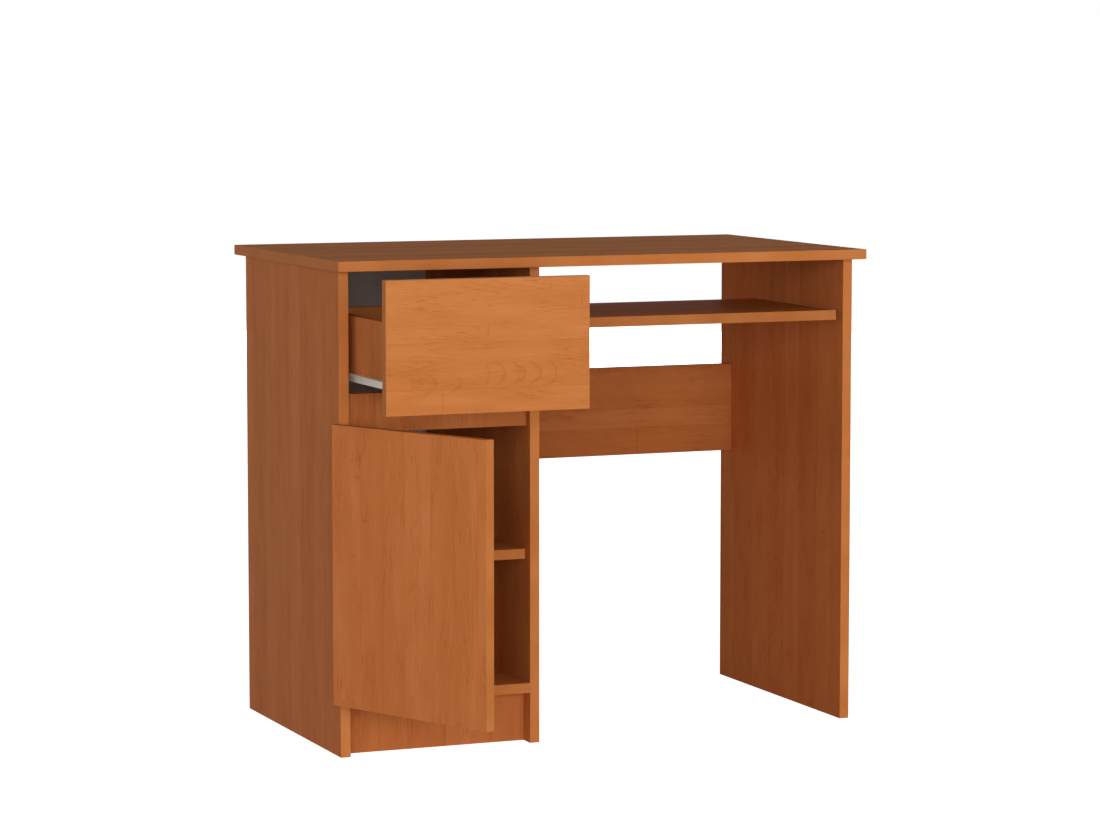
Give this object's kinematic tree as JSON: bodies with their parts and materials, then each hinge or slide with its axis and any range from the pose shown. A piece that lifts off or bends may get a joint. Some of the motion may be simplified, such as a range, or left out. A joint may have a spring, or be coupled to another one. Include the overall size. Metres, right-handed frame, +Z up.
{
  "type": "computer desk",
  "caption": "Chipboard computer desk with a pedestal holding a drawer over a hinged-door cupboard, and a kneehole with a sliding keyboard shelf.",
  "frame": {"origin": "on the floor, under the middle of the whole outline as it stands with the drawer out and the door open, which is 89 mm behind the uprights' front edges and midway along the top", "axes": "+X to the right along the desk top, +Y from front to back, +Z up"},
  "size_m": [0.9064, 0.8012, 0.77],
  "materials": {
    "decor_along_x": "satin alder-decor laminate, grain from left to right",
    "decor_upright": "satin alder-decor laminate, upright grain",
    "edge_band": "satin wood-decor edge banding",
    "hardboard": "hardboard, white lacquered inside and bare brown outside",
    "slide_sheet": "cream powder coat",
    "roller_plastic": "smooth moulded plastic",
    "plain_steel": "zinc plated",
    "cast_zinc": "die-cast zinc alloy",
    "beech": "plain turned beech"
  },
  "bodies": {
    "carcass": {"bottom_board": "decor_along_x", "cam_bolts": "plain_steel", "cam_fittings": "cast_zinc", "channel_rivets": "plain_steel", "channel_screws": "plain_steel", "cupboard_back_panel": "hardboard", "cupboard_edging": "edge_band", "cupboard_shelf": "decor_along_x", "desk_top": "decor_along_x", "desk_top_edging": "edge_band", "drawer_channel_left": "slide_sheet", "drawer_channel_right": "slide_sheet", "front_rail": "decor_upright", "hinge_leaf_upright_lower": "plain_steel", "hinge_leaf_upright_upper": "plain_steel", "hinge_pin_lower": "plain_steel", "hinge_pin_upper": "plain_steel", "hinge_screws_upright": "plain_steel", "keyboard_channel_left": "slide_sheet", "keyboard_channel_right": "slide_sheet", "left_side_panel": "decor_upright", "modesty_panel": "decor_along_x", "panel_dowels": "beech", "partition_panel": "decor_upright", "plinth": "decor_upright", "right_side_panel": "decor_upright", "shelf_pins": "plain_steel", "side_panel_edging": "edge_band"},
    "drawer": {"drawer_front": "decor_along_x", "drawer_front_edging": "edge_band", "drawer_left_side": "decor_upright", "drawer_right_side": "decor_upright", "drawer_back": "decor_along_x", "drawer_bottom": "hardboard", "drawer_dowels": "beech", "drawer_runner_left": "slide_sheet", "drawer_runner_right": "slide_sheet", "drawer_runner_rivets": "plain_steel", "drawer_runner_screws": "plain_steel"},
    "keyboard": {"keyboard_shelf": "decor_along_x", "keyboard_shelf_edging": "edge_band", "keyboard_runner_left": "slide_sheet", "keyboard_runner_right": "slide_sheet", "keyboard_runner_rivets": "plain_steel", "keyboard_runner_screws": "plain_steel"},
    "door": {"door_panel": "decor_upright", "door_edging": "edge_band", "hinge_leaf_door_upper": "plain_steel", "hinge_leaf_door_lower": "plain_steel", "hinge_screws_door": "plain_steel"},
    "drawer_front_roller_left": {"drawer_front_roller_left": "roller_plastic"},
    "drawer_front_roller_right": {"drawer_front_roller_right": "roller_plastic"},
    "drawer_rear_roller_left": {"drawer_rear_roller_left": "roller_plastic"},
    "drawer_rear_roller_right": {"drawer_rear_roller_right": "roller_plastic"},
    "keyboard_front_roller_left": {"keyboard_front_roller_left": "roller_plastic"},
    "keyboard_front_roller_right": {"keyboard_front_roller_right": "roller_plastic"},
    "keyboard_rear_roller_left": {"keyboard_rear_roller_left": "roller_plastic"},
    "keyboard_rear_roller_right": {"keyboard_rear_roller_right": "roller_plastic"}
  },
  "joints": [
    {"name": "drawer_slide", "type": "slide", "parent": "carcass", "child": "drawer", "axis": [0, -1, 0], "range_m": [-0.1865, 0.1135]},
    {"name": "keyboard_slide", "type": "slide", "parent": "carcass", "child": "keyboard", "axis": [0, -1, 0], "range_m": [0, 0.185]},
    {"name": "door_hinge", "type": "hinge", "parent": "carcass", "child": "door", "pos_m": [-0.443, -0.09025, 0.303], "axis": [0, 0, -1], "range_deg": [-65.5, 114.5]},
    {"name": "drawer_front_roller_left_turn", "type": "hinge", "parent": "carcass", "child": "drawer_front_roller_left", "pos_m": [-0.4195, -0.047, 0.5852], "axis": [1, 0, 0], "range_deg": [-1270, 780]},
    {"name": "drawer_front_roller_right_turn", "type": "hinge", "parent": "carcass", "child": "drawer_front_roller_right", "pos_m": [-0.1285, -0.047, 0.5852], "axis": [1, 0, 0], "range_deg": [-1270, 780]},
    {"name": "drawer_rear_roller_left_turn", "type": "hinge", "parent": "drawer", "child": "drawer_rear_roller_left", "pos_m": [-0.4177, 0.112, 0.5852], "axis": [1, 0, 0], "range_deg": [-1270, 780]},
    {"name": "drawer_rear_roller_right_turn", "type": "hinge", "parent": "drawer", "child": "drawer_rear_roller_right", "pos_m": [-0.1303, 0.112, 0.5852], "axis": [1, 0, 0], "range_deg": [-1270, 780]},
    {"name": "keyboard_front_roller_left_turn", "type": "hinge", "parent": "carcass", "child": "keyboard_front_roller_left", "pos_m": [-0.1025, -0.049, 0.6617], "axis": [1, 0, 0], "range_deg": [0, 2140]},
    {"name": "keyboard_front_roller_right_turn", "type": "hinge", "parent": "carcass", "child": "keyboard_front_roller_right", "pos_m": [0.4185, -0.049, 0.6617], "axis": [1, 0, 0], "range_deg": [0, 2140]},
    {"name": "keyboard_rear_roller_left_turn", "type": "hinge", "parent": "keyboard", "child": "keyboard_rear_roller_left", "pos_m": [-0.1017, 0.181, 0.6617], "axis": [1, 0, 0], "range_deg": [0, 2140]},
    {"name": "keyboard_rear_roller_right_turn", "type": "hinge", "parent": "keyboard", "child": "keyboard_rear_roller_right", "pos_m": [0.4177, 0.181, 0.6617], "axis": [1, 0, 0], "range_deg": [0, 2140]}
  ],
  "couplings": [
    {"joint": "drawer_front_roller_left_turn", "follows": "drawer_slide", "rad_per_m": 117.65},
    {"joint": "drawer_front_roller_right_turn", "follows": "drawer_slide", "rad_per_m": 117.65},
    {"joint": "drawer_rear_roller_left_turn", "follows": "drawer_slide", "rad_per_m": 117.65},
    {"joint": "drawer_rear_roller_right_turn", "follows": "drawer_slide", "rad_per_m": 117.65},
    {"joint": "keyboard_front_roller_left_turn", "follows": "keyboard_slide", "rad_per_m": 200},
    {"joint": "keyboard_front_roller_right_turn", "follows": "keyboard_slide", "rad_per_m": 200},
    {"joint": "keyboard_rear_roller_left_turn", "follows": "keyboard_slide", "rad_per_m": 200},
    {"joint": "keyboard_rear_roller_right_turn", "follows": "keyboard_slide", "rad_per_m": 200}
  ]
}
